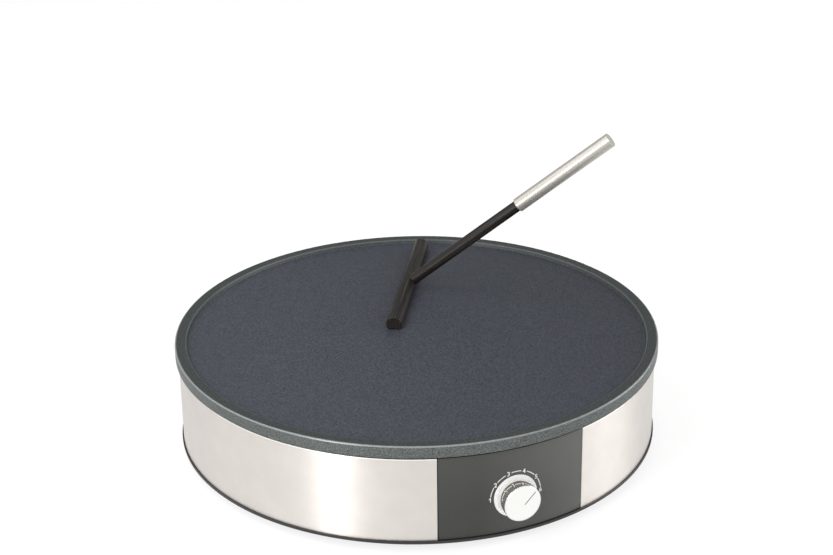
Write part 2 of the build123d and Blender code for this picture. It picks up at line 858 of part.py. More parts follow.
def make_light_ring():
    """The pale light guide round the knob, with a flange and a skirt behind the panel."""
    skirt_inner = ring_flange_radius - ring_skirt_wall
    corners = [
        ((ring_bore, ring_front), ring_bore_edge),
        ((ring_radius, ring_front), ring_edge),
        ((ring_radius, flange_front), 0),
        ((ring_flange_radius, flange_front), 0),
        ((ring_flange_radius, board_front), 0),
        ((skirt_inner, board_front), 0),
        ((skirt_inner, flange_back), 0),
        ((ring_bore, flange_back), 0),
    ]
    points = [point for point, _ in corners]
    outline = FilletPolyline(*points, radius=[edge for _, edge in corners], close=True)
    return KNOB_PLANE * revolve(Plane.XZ * make_face(outline), Axis.Z)


def board_screw_places():
    middle = (pocket_radius + board_radius) / 2
    return [at(middle, azimuth) for azimuth in around(board_screw_count, 180)]


def make_led_board():
    """The ring-shaped circuit board behind the light ring."""
    board = tube(board_radius, board_bore, board_back, board_front)
    for place in board_screw_places():
        board -= disc(board_screw_radius + close_clearance, board_back, board_front, place)
    return KNOB_PLANE * board


def make_leds():
    """Small lamps on the board, facing the light ring."""
    middle = (ring_flange_radius - ring_skirt_wall + ring_bore) / 2
    leds = []
    for azimuth in around(led_count, led_first_azimuth):
        x, y = at(middle, azimuth)
        led = Box(led_size, 0.8 * led_size, led_height, align=LOW)
        leds.append(KNOB_PLANE * Pos(x, y, board_front) * Rot(0, 0, azimuth) * led)
    return leds


def make_board_screws():
    """Screws that hold the circuit board to the panel."""
    screws = []
    for place in board_screw_places():
        head = disc(board_screw_head, board_back - board_screw_head_height, board_back, place)
        shank = disc(board_screw_radius, board_back, board_front + board_screw_grip, place)
        screws.append(KNOB_PLANE * (head + shank))
    return screws


# ---- thermostat ----


def make_thermostat_body():
    """The thermostat: a square body with a bored collar and two spade tabs behind."""
    half = thermostat_size / 2
    body = block((-half, half), (-half, half), (thermostat_back, thermostat_front))
    body += disc(collar_radius, thermostat_front, collar_front)
    body -= disc(shaft_radius + shaft_running_gap, shaft_back - 0.5, collar_front)
    screw_end = thermostat_front - thermostat_screw_grip - close_clearance
    for place in thermostat_screw_places():
        body -= disc(small_screw_radius + close_clearance, screw_end, thermostat_front, place)
    for x in (-contact_offset, contact_offset):
        body += block(
            (x - tab_width / 2, x + tab_width / 2),
            (-tab_thickness / 2, tab_thickness / 2),
            (thermostat_back - tab_length, thermostat_back),
        )
    return KNOB_PLANE * body


def thermostat_screw_places():
    return [(x, 0) for x in (-thermostat_screw_offset, thermostat_screw_offset)]


def bracket_screw_places():
    y = -(thermostat_front + (bracket_thickness + bracket_foot) / 2)
    return [(x, y) for x in (-bracket_screw_offset, bracket_screw_offset)]


def make_thermostat_bracket():
    """A bent steel plate that carries the thermostat on the tray's bosses."""
    x = (-bracket_width / 2, bracket_width / 2)
    z_top = z_knob + thermostat_size / 2 + 1
    plate = block(x, (-bracket_front, -thermostat_front), (z_bracket, z_top))
    foot_front = thermostat_front + bracket_foot
    plate += block(x, (-foot_front, -thermostat_front), (z_bracket, z_bracket + bracket_thickness))
    plate -= KNOB_PLANE * disc(collar_radius + screw_clearance, thermostat_front, bracket_front)
    for place in thermostat_screw_places():
        plate -= KNOB_PLANE * disc(
            small_screw_radius + screw_clearance, thermostat_front, bracket_front, place
        )
    for place in bracket_screw_places():
        plate -= disc(
            small_screw_radius + screw_clearance, z_bracket, z_bracket + bracket_thickness, place
        )
    return plate


def make_thermostat_screws():
    """Two screws that hold the thermostat to its bracket."""
    screws = []
    for place in thermostat_screw_places():
        head = disc(small_screw_head, bracket_front, bracket_front + small_screw_head_height, place)
        shank = disc(small_screw_radius, thermostat_front - thermostat_screw_grip, bracket_front, place)
        screws.append(KNOB_PLANE * (head + shank))
    return screws


def make_bracket_screws():
    """Two screws that hold the bracket's foot to the tray."""
    seat = z_bracket + bracket_thickness
    depth = bracket_boss_height + bracket_thickness - fit_clearance
    return screw(small_screw_head, small_screw_radius, bracket_screw_places(), seat, depth)


def make_sensor_bulb():
    """The thermostat's fluid bulb, held against the plate."""
    half = bulb_length / 2
    plane = Plane(origin=(-half, -bulb_place, z_bulb), z_dir=(1, 0, 0))
    return plane * Cylinder(bulb_radius, bulb_length, align=LOW)


def capillary_passage():
    """Where the capillary tube passes through the reflector."""
    return bulb_length / 2 + capillary_lead, -bulb_place


def make_capillary_tube():
    """The thin tube from the thermostat's side up to the sensor bulb."""
    start_x = thermostat_size / 2
    start_y = -(thermostat_front + thermostat_back) / 2
    start_z = z_knob + thermostat_size / 4
    through_x, through_y = capillary_passage()
    middle_y = (start_y + through_y) / 2 + capillary_rise
    middle_z = (start_z + z_reflector - capillary_rise) / 2
    return wire_along(
        capillary_radius,
        [
            (start_x, start_y, start_z),
            (start_x + capillary_lead, start_y, start_z),
            (through_x, middle_y, middle_z),
            (through_x, through_y, z_reflector - capillary_radius),
            (through_x - capillary_rise, through_y, z_bulb),
            (bulb_length / 2, through_y, z_bulb),
        ],
    )


def clip_screws():
    return [
        (x, -bulb_place + y)
        for x in (-clip_offset, clip_offset)
        for y in (-clip_screw_offset, clip_screw_offset)
    ]


def make_sensor_clips():
    """Two bent straps that press the bulb against the plate."""
    clips = []
    for x in (-clip_offset, clip_offset):
        span = (x - clip_width / 2, x + clip_width / 2)
        reach = (-bulb_place - clip_reach, -bulb_place + clip_reach)
        flat = block(span, reach, (z_underside - clip_thickness, z_underside))
        plane = Plane(origin=(span[0], -bulb_place, z_bulb), z_dir=(1, 0, 0))
        inside = bulb_radius + close_clearance
        outside = inside + clip_thickness
        saddle = plane * Cylinder(outside, clip_width, align=LOW)
        saddle += block(span, (-bulb_place - outside, -bulb_place + outside), (z_bulb, z_underside))
        bulb = plane * Cylinder(inside, clip_width, align=LOW)
        bulb += block(span, (-bulb_place - inside, -bulb_place + inside), (z_bulb, z_underside))
        above = block(span, reach, (z_underside, z_surface))
        clip = flat + saddle - bulb - above
        for place in clip_screws():
            clip -= disc(
                small_screw_radius + close_clearance, z_underside - clip_thickness, z_underside, place
            )
        clips.append(clip)
    return clips


def make_sensor_screws():
    """The straps' screws."""
    seat = z_underside - clip_thickness
    depth = clip_thickness + 0.5 * plate_thickness
    return screw(clip_screw_head, small_screw_radius, clip_screws(), seat, depth, down=False)


def make_thermal_cutout():
    """The safety cut-out: a button on a flange, with two spade tabs."""
    body = disc(cutout_radius, z_cutout, z_underside)
    half_width = cutout_flange_width / 2
    z = (z_underside - cutout_flange_thickness, z_underside)
    body += block((-cutout_flange, cutout_flange), (-half_width, half_width), z)
    for x in (-cutout_screw_offset, cutout_screw_offset):
        body -= disc(small_screw_radius + close_clearance, *z, (x, 0))
    for x in (-cutout_tab_offset, cutout_tab_offset):
        body += block(
            (x - tab_thickness / 2, x + tab_thickness / 2),
            (-tab_width / 2, tab_width / 2),
            (z_cutout - tab_length, z_cutout),
        )
    return body


def make_cutout_screws():
    """Two screws that hold the cut-out to the plate."""
    places = [(x, 0) for x in (-cutout_screw_offset, cutout_screw_offset)]
    seat = z_underside - cutout_flange_thickness
    depth = cutout_flange_thickness + 0.5 * plate_thickness
    return screw(small_screw_head, small_screw_radius, places, seat, depth, down=False)


def make_earth_tab():
    """The earth spade, welded to the reflector's underside."""
    half = earth_tab_foot / 2
    foot = block(
        (earth_tab_x - half, earth_tab_x + half),
        (earth_tab_y - tab_thickness / 2, earth_tab_y + earth_tab_foot),
        (z_reflector - tab_thickness, z_reflector),
    )
    return foot + upright_tab((earth_tab_x, earth_tab_y), z_reflector)


# ---- wiring ----


def spade_ends():
    """Each spade tab's tip, the way it points, and whether its width lies along X."""
    z_tips = {
        "element": z_leg - insulator_height - tab_length,
        "cutout": z_cutout - tab_length,
        "earth": z_reflector - tab_length,
    }
    outer_leg, inner_leg = leg_places()
    back = -(thermostat_back - tab_length)
    down, rear = (0, 0, -1), (0, 1, 0)
    return {
        "outer_leg": ((*outer_leg, z_tips["element"]), down, True),
        "inner_leg": ((*inner_leg, z_tips["element"]), down, True),
        "cutout_left": ((-cutout_tab_offset, 0, z_tips["cutout"]), down, False),
        "cutout_right": ((cutout_tab_offset, 0, z_tips["cutout"]), down, False),
        "earth": ((earth_tab_x, earth_tab_y, z_tips["earth"]), down, True),
        "thermostat_left": ((-contact_offset, back, z_knob), rear, True),
        "thermostat_right": ((contact_offset, back, z_knob), rear, True),
    }


def make_spade_connectors():
    """A crimped receptacle on every spade tab."""
    connectors = []
    for tip, way, flat_on_x in spade_ends().values():
        plane = Plane(origin=tip, x_dir=(1, 0, 0) if flat_on_x else (0, 1, 0), z_dir=way)
        body = Pos(0, 0, -spade_overlap) * Box(spade_width, spade_thickness, spade_length, align=LOW)
        slot_width = tab_width + 2 * close_clearance
        slot_thickness = tab_thickness + 2 * close_clearance
        slot = Pos(0, 0, -spade_overlap) * Box(slot_width, slot_thickness, spade_overlap, align=LOW)
        connectors.append(plane * (body - slot))
    return connectors


def spade_mouth(name):
    """Where a wire leaves its connector, and the point a lead's length further on."""
    tip, way, _ = spade_ends()[name]
    reach = spade_length - spade_overlap
    end = [t + reach * w for t, w in zip(tip, way)]
    lead = [e + wire_lead * w for e, w in zip(end, way)]
    return tuple(end), tuple(lead)


def pole_mouth(index):
    """Where a wire enters a pole of the terminal block, and a lead's length before it."""
    x, z = pole_pitch * index, z_floor + pole_height
    face = block_place - block_width / 2
    return (x, face + pole_wire_grip, z), (x, face - wire_lead, z)


def make_wire_neutral():
    """From the terminal block to the element's inner leg."""
    start, start_lead = pole_mouth(-1)
    end, end_lead = spade_mouth("inner_leg")
    middle_x = (start_lead[0] + end_lead[0]) / 2
    middle_y = min(start_lead[1], end_lead[1]) - wire_slack
    middle = (middle_x, middle_y, (start_lead[2] + end_lead[2]) / 2)
    return wire_along(wire_radius, [start, start_lead, middle, end_lead, end])


def make_wire_live():
    """From the terminal block along the tray to the thermostat."""
    start, start_lead = pole_mouth(0)
    end, end_lead = spade_mouth("thermostat_left")
    lane = end[0] - 0.6 * wire_slack
    span = end_lead[1] - start_lead[1]
    return wire_along(
        wire_radius,
        [
            start,
            start_lead,
            (lane, start_lead[1] + 0.28 * span, z_wire),
            (lane - 0.3 * wire_slack, start_lead[1] + 0.68 * span, z_wire),
            end_lead,
            end,
        ],
    )


def make_wire_thermostat():
    """From the thermostat up to the thermal cut-out."""
    start, start_lead = spade_mouth("thermostat_right")
    end, end_lead = spade_mouth("cutout_right")
    middle = (
        start_lead[0] + wire_slack,
        (start_lead[1] + end_lead[1]) / 2,
        (start_lead[2] + end_lead[2] - wire_slack) / 2,
    )
    return wire_along(wire_radius, [start, start_lead, middle, end_lead, end])


def make_wire_element():
    """From the thermal cut-out to the element's outer leg."""
    start, start_lead = spade_mouth("cutout_left")
    end, end_lead = spade_mouth("outer_leg")
    lane = min(start[0], end[0]) - wire_swing
    return wire_along(
        wire_radius,
        [
            start,
            start_lead,
            (lane, start_lead[1] + 0.3 * end[1], start_lead[2] - 0.75 * wire_slack),
            (lane, start_lead[1] + 0.72 * end[1], end_lead[2] + 0.5 * wire_slack),
            end_lead,
            end,
        ],
    )


def make_wire_earth():
    """From the terminal block to the reflector's earth spade."""
    start, start_lead = pole_mouth(1)
    end, end_lead = spade_mouth("earth")
    middle = (
        (start_lead[0] + end_lead[0]) / 2,
        (start_lead[1] + end_lead[1]) / 2 - 0.75 * wire_slack,
        (start_lead[2] + end_lead[2]) / 2,
    )
    return wire_along(wire_radius, [start, start_lead, middle, end_lead, end])


# ---- batter spreader ----


def make_spreader_bar():
    """The bar: a round rod with a flat underneath and a socket for the stick."""
    half = bar_width / 2
    profile = Pos(0, bar_height - half) * Circle(half)
    profile -= Pos(0, -half) * Rectangle(2 * bar_width, bar_width)
    end = Plane(origin=(-bar_length / 2, 0, 0), x_dir=(0, 1, 0), z_dir=(1, 0, 0))
    bar = extrude(end * profile, bar_length)
    ends = bar.faces().filter_by(Axis.X).edges()
    bar = SPREADER_PLANE * fillet(ends, bar_edge)
    return bar - STICK_PLANE * disc(stick_radius + socket_clearance, stick_start, bar_width)


def make_spreader_stick():
    """The round stick, with a thinner tang that runs on inside the handle."""
    stick = disc(stick_radius, stick_start, stick_length)
    return STICK_PLANE * (stick + disc(tang_radius, stick_length, stick_length + tang_length))


def make_handle_bush():
    """The collar between the stick's tang and the mouth of the handle."""
    inner = tang_radius + socket_clearance
    outer = handle_radius - handle_wall
    return STICK_PLANE * tube(outer, inner, stick_length, stick_length + handle_bush_length)


def make_spreader_handle():
    """The steel sleeve that the hand holds."""
    end = stick_length + handle_length
    sleeve = disc(handle_radius, stick_length, end)
    sleeve = fillet(sleeve.edges(), handle_edge)
    return STICK_PLANE * (sleeve - disc(handle_radius - handle_wall, stick_length, end))


def make_handle_cap():
    """The plug that closes the handle's far end."""
    end = stick_length + handle_length
    return STICK_PLANE * disc(handle_radius - handle_wall, end - handle_cap_thickness, end)


# ---- one STEP file for each node ----

PARTS = {
    "griddle_plate": make_griddle_plate,
    "heating_element": make_heating_element,
    "element_insulators": make_element_insulators,
    "element_tabs": make_element_tabs,
    "plate_spacers": make_plate_spacers,
    "plate_screws": make_plate_screws,
    "heat_reflector": make_heat_reflector,
    "inner_frame": make_inner_frame,
    "steel_band": make_steel_band,
    "control_panel": make_control_panel,
    "panel_screws": make_panel_screws,
    "base_tray": make_base_tray,
    "base_screws": make_base_screws,
    "rubber_feet": make_rubber_feet,
    "cord_bushing": make_cord_bushing,
    "bushing_lock_ring": make_bushing_lock_ring,
    "cord_clamp": make_cord_clamp,
    "clamp_screws": make_clamp_screws,
    "terminal_block": make_terminal_block,
    "terminal_screws": make_terminal_screws,
    "knob_body": make_knob_body,
    "knob_cap": make_knob_cap,
    "knob_shaft": make_knob_shaft,
    "knob_spring": make_knob_spring,
    "light_ring": make_light_ring,
    "led_board": make_led_board,
    "leds": make_leds,
    "board_screws": make_board_screws,
    "thermostat_body": make_thermostat_body,
    "thermostat_bracket": make_thermostat_bracket,
    "thermostat_screws": make_thermostat_screws,
    "bracket_screws": make_bracket_screws,
    "sensor_bulb": make_sensor_bulb,
    "capillary_tube": make_capillary_tube,
    "sensor_clips": make_sensor_clips,
    "sensor_screws": make_sensor_screws,
    "thermal_cutout": make_thermal_cutout,
    "cutout_screws": make_cutout_screws,
    "earth_tab": make_earth_tab,
    "spade_connectors": make_spade_connectors,
    "wire_neutral": make_wire_neutral,
    "wire_live": make_wire_live,
    "wire_thermostat": make_wire_thermostat,
    "wire_element": make_wire_element,
    "wire_earth": make_wire_earth,
    "spreader_bar": make_spreader_bar,
    "spreader_stick": make_spreader_stick,
    "handle_bush": make_handle_bush,
    "spreader_handle": make_spreader_handle,
    "handle_cap": make_handle_cap,
}

os.makedirs("parts", exist_ok=True)
for name, make in PARTS.items():
    shape = make()
    solids = [s for piece in shape for s in piece.solids()] if isinstance(shape, list) else shape.solids()
    export_step(solids[0] if len(solids) == 1 else Compound(children=solids), f"parts/{name}.step")
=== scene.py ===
"""Looks of the electric crepe maker: its finishes, the dial's print, light and camera.

Everything is in metres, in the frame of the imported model: the origin is on the griddle
plate's axis, at the soles of the feet, +Z is up, and -Y is the front, where the knob is.
"""
import json
from math import atan, cos, radians, sin, sqrt

import bpy
from mathutils import Matrix, Vector


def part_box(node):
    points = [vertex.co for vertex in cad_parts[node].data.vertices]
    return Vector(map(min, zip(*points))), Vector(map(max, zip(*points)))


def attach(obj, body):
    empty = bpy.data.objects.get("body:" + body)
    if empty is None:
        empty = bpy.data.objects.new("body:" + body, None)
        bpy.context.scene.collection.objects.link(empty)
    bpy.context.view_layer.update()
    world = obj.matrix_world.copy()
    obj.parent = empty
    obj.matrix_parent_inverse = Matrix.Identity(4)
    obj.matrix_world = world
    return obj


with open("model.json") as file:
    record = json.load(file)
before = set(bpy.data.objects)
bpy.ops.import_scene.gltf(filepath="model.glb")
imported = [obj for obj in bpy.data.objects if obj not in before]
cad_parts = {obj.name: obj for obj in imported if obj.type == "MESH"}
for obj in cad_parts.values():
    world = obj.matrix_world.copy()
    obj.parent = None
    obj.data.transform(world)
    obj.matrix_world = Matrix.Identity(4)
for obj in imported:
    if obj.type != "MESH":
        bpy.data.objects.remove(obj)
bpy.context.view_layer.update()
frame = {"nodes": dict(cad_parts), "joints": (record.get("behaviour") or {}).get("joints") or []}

MM = 0.001

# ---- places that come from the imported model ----
Z_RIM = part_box("griddle_plate")[1].z
Z_BAND_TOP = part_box("steel_band")[1].z
PLATE_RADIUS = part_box("griddle_plate")[1].x
PANEL_RADIUS = -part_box("control_panel")[0].y
KNOB = next(joint for joint in frame["joints"] if joint["name"] == "knob_turn")
KNOB_Z = KNOB["pos_m"][2]
KNOB_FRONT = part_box("knob_cap")[0].y
KNOB_RADIUS = (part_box("knob_body")[1].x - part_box("knob_body")[0].x) / 2

# ---- places inside a piece, which its box doesn't give ----
RIM_INNER = PLATE_RADIUS - 8 * MM  # the rim's inner edge
GROOVE_REACH = 12.0 * MM  # the pointer's groove lies inside this distance from the knob's axis
STICK_FROM, STICK_FULL = Z_RIM + 14 * MM, Z_RIM + 18 * MM  # heights above the spreader's bar

# ---- the spreader's directions, as it stands on the plate ----
SPREADER_TURN, STICK_RISE = radians(59.8), radians(39.0)
STICK = Vector((
    sin(SPREADER_TURN) * cos(STICK_RISE), -cos(SPREADER_TURN) * cos(STICK_RISE), sin(STICK_RISE)
))
BAR = Vector((cos(SPREADER_TURN), sin(SPREADER_TURN), 0))

# ---- camera ----
PHOTO_WIDTH, PHOTO_HEIGHT = 833, 555
SENSOR_WIDTH = 36.0
FOCAL_LENGTH = 83.07
CAMERA_DISTANCE = 1.4
CAMERA_AZIMUTH = radians(-21.85)
CAMERA_ELEVATION = radians(25.736)
CAMERA_ROLL = radians(-0.798)
RIM_CENTRE_PIXEL = (415.6, 329.12)  # where the middle of the rim's top shows

# ---- marks of making: noise scale along and across them ----
BAND_ALONG, BAND_ACROSS = 18, 6500
TUBE_ALONG, TUBE_ACROSS = 22, 2600
STREAK_ALONG, STREAK_ACROSS = 14, 1400
TURNED_ACROSS = 5200  # on the knob's stem
RINGS_ACROSS = 6500  # on the knob's face
GRAIN_SCALE = 0.7  # a grain's noise scale times its size

# ---- dial print ----
DIAL_RADIUS = 18.25 * MM
DIAL_X = 0.35 * MM  # the print's centre, right of the knob's axis
NUMERAL_HEIGHT = 3.2 * MM
DIAL_STROKE = 0.6 * MM
NUMERAL_SHARE = 0.7  # a numeral's height, as a share of the type size
NUMERAL_WEIGHT = 0.02  # thickens the strokes, as a share of the type size; 0.04 breaks the 6
ONE_FLAG = ((-0.12, 0.50), (-0.12, 0.24), (-0.36, 0.08), (-0.36, 0.28))  # in numeral heights
ARC_STEPS = 16
PRINT_LIFT = 0.02 * MM  # print in front of the panel
DIAL_ANGLES = [180 - 36 * i for i in range(6)]  # numerals 1 to 6, from +X towards +Z
NUMERAL_GAP = 7.0  # degrees left free on each side of a numeral

# ---- surroundings ----
WORLD_LEVEL = 0.62  # the room's light on the model
BACK_LEVEL = 0.3  # the room's back in reflections, as if a dark curtain hung there
BACK_BEGINS, BACK_FULL = -0.25, -0.55  # cosines between a direction and the camera's azimuth
FLOOR_LEVEL = 0.92  # its colour
FLOOR_GLOW = 0.75  # share of the floor's own white in what is seen, also in reflections
FLOOR_WHITE = 1.07  # strength of that white
FLOOR_GLOSS = 0.07  # the key lamp's image in the floor, as the steel band shows it
FLOOR_GLOSS_ROUGHNESS = 0.12
FLOOR_HALF = 15.0  # half its side

# ---- the Mix node's colour sockets: two inputs and the output ----
MIX_FIRST, MIX_SECOND, MIX_RESULT = 6, 7, 2


def white(level):
    return (level, level, level, 1.0)


def join(tree, value, socket):
    """Sends a node's output, or a plain value, to an input."""
    if isinstance(value, bpy.types.NodeSocket):
        tree.links.new(value, socket)
    else:
        socket.default_value = value


def ranged(tree, value, low, high, to_low, to_high):
    """Maps a range of a value to another, clamped."""
    node = tree.nodes.new("ShaderNodeMapRange")
    for item, socket in zip((value, low, high, to_low, to_high), node.inputs):
        join(tree, item, socket)
    return node.outputs[0]


class Finish:
    """One material: its shader, and helpers that add texture nodes before it."""

    def __init__(self, name, color, roughness, metallic=0.0, **values):
        self.material = bpy.data.materials.new(name)
        self.material.use_nodes = True
        self.tree = self.material.node_tree
        self.shader = self.tree.nodes["Principled BSDF"]
        self.place = self.add("ShaderNodeTexCoord").outputs["Object"]
        self.set("Base Color", (*color, 1.0))
        self.set("Roughness", roughness)
        self.set("Metallic", metallic)
        for key, value in values.items():
            self.set(key.replace("_", " "), value)
        self.color = color

    def add(self, kind, **settings):
        node = self.tree.nodes.new(kind)
        for key, value in settings.items():
            setattr(node, key, value)
        return node

    def set(self, socket, value):
        self.shader.inputs[socket].default_value = value

    def join(self, value, socket):
        join(self.tree, value, socket)

    def drive(self, socket, value):
        self.join(value, self.shader.inputs[socket])

    def math(self, operation, a, b=0.0, c=0.0):
        node = self.add("ShaderNodeMath", operation=operation)
        for value, socket in zip((a, b, c), node.inputs):
            self.join(value, socket)
        return node.outputs[0]

    def span(self, value, low, high, to_low=0.0, to_high=1.0):
        return ranged(self.tree, value, low, high, to_low, to_high)

    def product(self, a, b):
        return self.math("MULTIPLY", a, b)

    def distance(self, a, b):
        """How far a point lies from an axis, from its two distances across that axis."""
        squares = [self.math("POWER", value, 2) for value in (a, b)]
        return self.math("SQRT", self.math("ADD", *squares))

    def split(self):
        """The x, y and z of a point."""
        node = self.add("ShaderNodeSeparateXYZ")
        self.join(self.place, node.inputs[0])
        return node.outputs

    def point(self, x, y, z):
        node = self.add("ShaderNodeCombineXYZ")
        for value, socket in zip((x, y, z), node.inputs):
            self.join(value, socket)
        return node.outputs[0]

    def noise(self, scale, detail, vector=None):
        node = self.add("ShaderNodeTexNoise")
        self.join(vector or self.place, node.inputs["Vector"])
        node.inputs["Scale"].default_value = scale
        node.inputs["Detail"].default_value = detail
        return node.outputs["Fac"]

    def strokes(self, *runs):
        """Noise drawn out along directions; a run is a direction and the noise's scale along it."""
        places = []
        for way, scale in runs:
            node = self.add("ShaderNodeVectorMath", operation="DOT_PRODUCT")
            self.join(self.place, node.inputs[0])
            node.inputs[1].default_value = scale * way
            places.append(node.outputs["Value"])
        return self.noise(1.0, 3, self.point(*places))

    def blend(self, factor, first, second):
        node = self.add("ShaderNodeMix", data_type="RGBA")
        self.join(factor, node.inputs["Factor"])
        for color, index in ((first, MIX_FIRST), (second, MIX_SECOND)):
            plain = not isinstance(color, bpy.types.NodeSocket)
            self.join((*color, 1.0) if plain else color, node.inputs[index])
        return node.outputs[MIX_RESULT]

    def shade(self, level, spread):
        """The finish's own colour, darker and lighter by a share as a 0 to 1 level says."""
        dark = tuple(channel * (1 - spread) for channel in self.color)
        light = tuple(channel * (1 + spread) for channel in self.color)
        return self.blend(level, dark, light)

    def bump(self, height, distance, strength):
        node = self.add("ShaderNodeBump")
        self.join(height, node.inputs["Height"])
        node.inputs["Distance"].default_value = distance
        node.inputs["Strength"].default_value = strength
        return node.outputs[0]


# ---- finishes ----


def around_axis(finish):
    """Distance along the drum's wall, height, and distance from the plate's axis."""
    x, y, z = finish.split()
    along = finish.product(finish.math("ARCTAN2", x, y), PLATE_RADIUS)
    return along, z, finish.distance(x, y)


def around_knob(finish):
    """Distance from the knob's axis."""
    x, _, z = finish.split()
    return finish.distance(x, finish.math("SUBTRACT", z, KNOB_Z))


def nonstick_casting():
    """Dark blue-grey speckled coating, paler on the wall, with painted shade and painted edge
    highlights.
    """
    finish = Finish("nonstick_casting", (0.040, 0.046, 0.058), 0.48, Specular_IOR_Level=0.4)
    _, z, radius = around_axis(finish)
    fine = finish.noise(1150, 1)
    specks = finish.span(fine, 0.34, 0.66)
    flakes = finish.span(finish.noise(1500, 1), 0.30, 0.70)
    # the surface is darker towards the right, which follows the light in the photo
    right = finish.span(finish.split()[0], -110 * MM, 160 * MM)
    dark = finish.blend(right, (0.025, 0.029, 0.039), (0.017, 0.020, 0.028))
    light = finish.blend(right, (0.069, 0.077, 0.093), (0.050, 0.056, 0.069))
    surface = finish.blend(specks, dark, light)
    rim = finish.blend(specks, (0.018, 0.022, 0.022), (0.054, 0.062, 0.060))
    top = finish.blend(finish.span(radius, RIM_INNER - 4 * MM, RIM_INNER), surface, rim)
    wall = finish.blend(flakes, (0.058, 0.067, 0.066), (0.20, 0.215, 0.21))
    on_wall = finish.product(
        finish.span(radius, PLATE_RADIUS - 0.9 * MM, PLATE_RADIUS - 0.3 * MM),
        finish.span(z, Z_RIM - 0.3 * MM, Z_RIM - 0.9 * MM),
    )
    coat = finish.blend(on_wall, top, wall)
    # painted highlight: a bright line painted along the plate's outer edge, and a weaker one along
    # the rim's inner edge
    outer_edge_highlight = finish.product(
        finish.span(radius, PLATE_RADIUS - 1.3 * MM, PLATE_RADIUS - 0.7 * MM),
        finish.span(z, Z_RIM - 1.2 * MM, Z_RIM - 0.7 * MM),
    )
    off_inner = finish.math("ABSOLUTE", finish.math("SUBTRACT", radius, RIM_INNER - 0.2 * MM))
    inner_edge_highlight = finish.product(
        finish.span(off_inner, 0.7 * MM, 0.4 * MM),
        finish.span(z, Z_RIM - 1.2 * MM, Z_RIM - 0.6 * MM),
    )
    edges = finish.math("MAXIMUM", outer_edge_highlight, finish.product(inner_edge_highlight, 0.25))
    finish.drive("Base Color", finish.blend(edges, coat, (0.25, 0.27, 0.27)))
    finish.drive("Metallic", finish.product(on_wall, 0.8))
    matt = finish.span(fine, 0.3, 0.7, 0.42, 0.56)
    finish.drive("Roughness", finish.product(matt, finish.span(edges, 0.0, 1.0, 1.0, 0.6)))
    grain = finish.math("ADD", fine, finish.product(flakes, 0.5))
    finish.drive("Normal", finish.bump(grain, 0.05 * MM, 0.5))
    return finish


def band_steel():
    """Stainless sheet, brushed round the drum, with a painted highlight along its upper edge."""
    finish = Finish(
        "band_steel", (0.725, 0.685, 0.647), 0.36, 1.0, Anisotropic=0.85, Anisotropic_Rotation=0.25
    )
    along, z, _ = around_axis(finish)
    drawn_out = finish.point(
        finish.product(along, BAND_ALONG), finish.product(z, BAND_ACROSS), 0.0
    )
    strokes = finish.noise(1.0, 3, drawn_out)
    clouds = finish.noise(60, 2)
    level = finish.math("ADD", finish.product(strokes, 0.5), finish.product(clouds, 0.5))
    # painted highlight: a near-white line painted along the band's top edge
    edge = finish.span(z, Z_BAND_TOP - 1.0 * MM, Z_BAND_TOP - 0.5 * MM)
    finish.drive("Base Color", finish.blend(edge, finish.shade(level, 0.12), (1.0, 0.98, 0.93)))
    finish.drive("Roughness", finish.span(strokes, 0.3, 0.7, 0.31, 0.41))
    finish.drive("Normal", finish.bump(strokes, 0.01 * MM, 0.25))
    tangent = finish.add("ShaderNodeTangent", direction_type="RADIAL", axis="Z")
    finish.drive("Tangent", tangent.outputs[0])
    return finish


def panel_plastic():
    """Dark warm grey moulding with a fine grain, and a painted sheen towards the right and the top.
    """
    finish = Finish("panel_plastic", (0.045, 0.0465, 0.0415), 0.5, Specular_IOR_Level=0.35)
    grain = finish.noise(1700, 2)
    mottle = finish.shade(finish.noise(900, 2), 0.22)
    # the panel is paler towards the right and the top, which follows the light in the photo
    x, _, z = finish.split()
    right = finish.span(x, -25 * MM, 52 * MM)
    top = finish.span(z, 30 * MM, Z_BAND_TOP)
    painted_sheen = finish.math("MULTIPLY_ADD", top, 0.2, finish.product(right, 0.8))
    color = finish.blend(finish.product(painted_sheen, 0.55), mottle, (0.20, 0.202, 0.19))
    finish.drive("Base Color", color)
    finish.drive("Roughness", finish.span(grain, 0.3, 0.7, 0.42, 0.58))
    finish.drive("Normal", finish.bump(grain, 0.03 * MM, 0.4))
    return finish


def moulding(name, color, roughness, grain_size=0.5 * MM):
    """Plain moulded plastic: fine grain, slight unevenness."""
    finish = Finish(name, color, roughness)
    grain = finish.noise(GRAIN_SCALE / grain_size, 2)
    finish.drive("Base Color", finish.shade(finish.noise(60, 3), 0.14))
    finish.drive("Roughness", finish.span(grain, 0.3, 0.7, roughness - 0.07, roughness + 0.07))
    finish.drive("Normal", finish.bump(grain, 0.04 * MM, 0.35))
    return finish


def knob_mirror():
    """Polished chrome with faint turning marks."""
    finish = Finish("knob_mirror", (0.86, 0.835, 0.80), 0.05, 0.9)
    y = finish.split()[1]
    marks = finish.noise(1.0, 2, finish.point(0.0, finish.product(y, TURNED_ACROSS), 0.0))
    finish.drive("Roughness", finish.span(marks, 0.3, 0.7, 0.03, 0.07))
    finish.drive("Base Color", finish.shade(marks, 0.03))
    return finish


